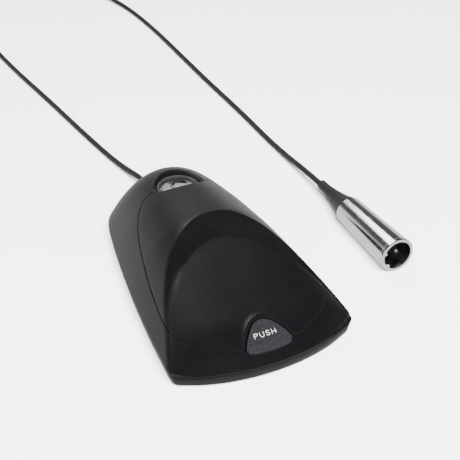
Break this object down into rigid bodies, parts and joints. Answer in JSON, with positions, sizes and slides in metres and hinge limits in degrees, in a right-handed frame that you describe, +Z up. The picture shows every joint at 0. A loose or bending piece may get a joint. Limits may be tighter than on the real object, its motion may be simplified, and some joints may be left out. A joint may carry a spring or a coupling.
{
  "type": "desktop base for a gooseneck microphone",
  "caption": "Wedge-shaped desktop base for a gooseneck microphone, with a socket, a push button and an attached cable that ends in a 3-pin plug.",
  "frame": {"origin": "on the table, under the middle of the base (the cable and plug left out)", "axes": "+X to the right, +Y to the rear, where the cable leaves, +Z up"},
  "size_m": [0.1524, 0.5863, 0.0436],
  "materials": {
    "black_shell": "fine satin grain",
    "black_pan": "satin",
    "button_grey": "fine spark grain",
    "black_rubber": "matt",
    "cable_jacket": "satin",
    "nickel": "satin nickel plate",
    "steel": "zinc plated",
    "silver_pin": "bright",
    "grey_insulator": "satin",
    "black_insulator": "satin",
    "board_green": "solder mask",
    "component_dark": "moulded",
    "wire_red": "insulation",
    "brass": "turned"
  },
  "bodies": {
    "base": {"base_pan": "black_pan", "upper_housing": "black_shell", "front_cover": "black_shell", "switch_body": "component_dark", "circuit_board": "board_green", "board_parts": "component_dark", "ballast_plate": "steel", "rubber_feet": "black_rubber", "housing_screws": "steel", "board_screws": "steel", "ballast_screws": "steel", "cover_screws": "steel", "socket_bezel": "black_insulator", "socket_collar": "nickel", "socket_insert": "grey_insulator", "socket_contacts": "silver_pin", "socket_nut": "brass", "inner_wires": "wire_red", "cable_gland": "black_rubber", "cable_clamp": "black_insulator", "cord_lead": "cable_jacket", "cord_coil": "cable_jacket", "cord_tail": "cable_jacket", "plug_shell": "nickel", "plug_insert": "black_insulator", "plug_pins": "silver_pin", "plug_clamp": "grey_insulator", "plug_boot": "black_rubber", "plug_screw": "steel"},
    "button": {"push_button": "button_grey"},
    "plunger": {"switch_plunger": "grey_insulator"}
  },
  "joints": [
    {"name": "button_press", "type": "slide", "parent": "base", "child": "button", "axis": [0, 0, -1], "range_m": [0, 0.0008], "stiffness_N_per_m": 1200, "springref_m": -0.0004},
    {"name": "plunger_press", "type": "slide", "parent": "base", "child": "plunger", "axis": [0, 0, -1], "range_m": [0, 0.0009]}
  ],
  "couplings": [
    {"joint": "plunger_press", "follows": "button_press", "ratio": 1}
  ]
}
